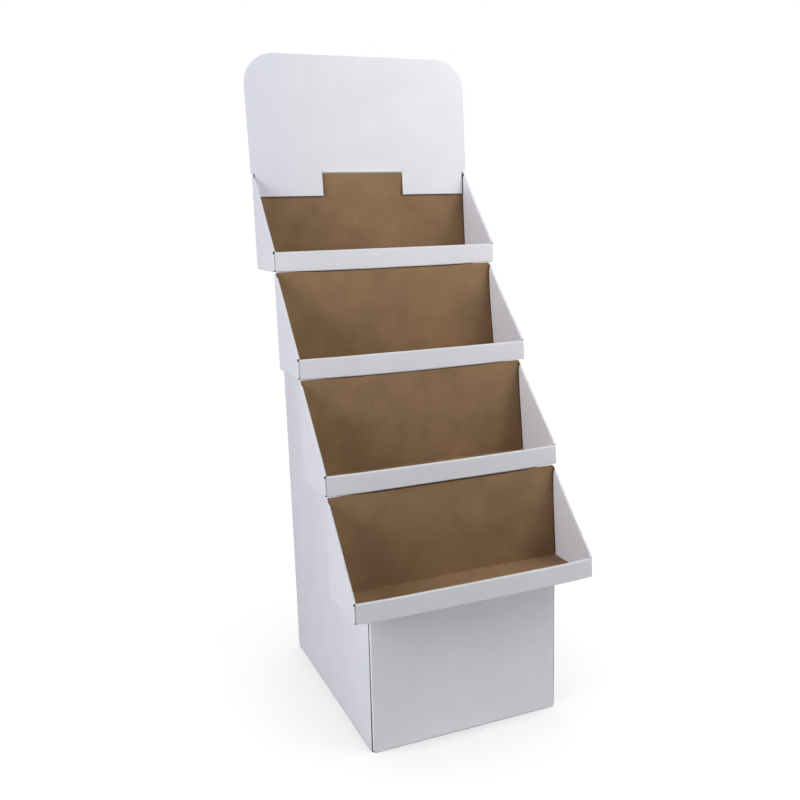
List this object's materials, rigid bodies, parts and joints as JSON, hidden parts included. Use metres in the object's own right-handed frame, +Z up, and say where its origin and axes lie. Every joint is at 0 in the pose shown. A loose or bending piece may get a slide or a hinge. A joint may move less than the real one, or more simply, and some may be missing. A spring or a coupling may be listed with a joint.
{
  "type": "cardboard display stand",
  "caption": "Free-standing shop display of white corrugated board: stepped open trays with rolled front lips on a tall stair-shaped body, with a round-cornered header card.",
  "frame": {"origin": "on the floor, at the middle of the footprint's bounding box", "axes": "+Z up, +X to the stand's own left seen from behind, which is right seen from the front, and the lips of the trays face -Y"},
  "size_m": [0.64, 0.7128, 1.7133],
  "materials": {
    "header_board": "matt white liner",
    "tray_board": "matt white liner outside, brown kraft inside",
    "body_board": "matt white liner outside, brown kraft inside",
    "step_board": "matt brown kraft",
    "inner_board": "matt brown kraft"
  },
  "bodies": {
    "root": {"header_panel": "header_board", "tray_top": "tray_board", "tray_upper": "tray_board", "tray_lower": "tray_board", "tray_bottom": "tray_board", "body_shell": "body_board", "front_panel": "body_board", "riser_upper": "step_board", "riser_middle": "step_board", "riser_lower": "step_board", "centre_divider": "inner_board", "cross_divider_rear": "inner_board", "cross_divider_middle": "inner_board", "cross_divider_front": "inner_board", "floor_pad": "inner_board"}
  },
  "joints": []
}
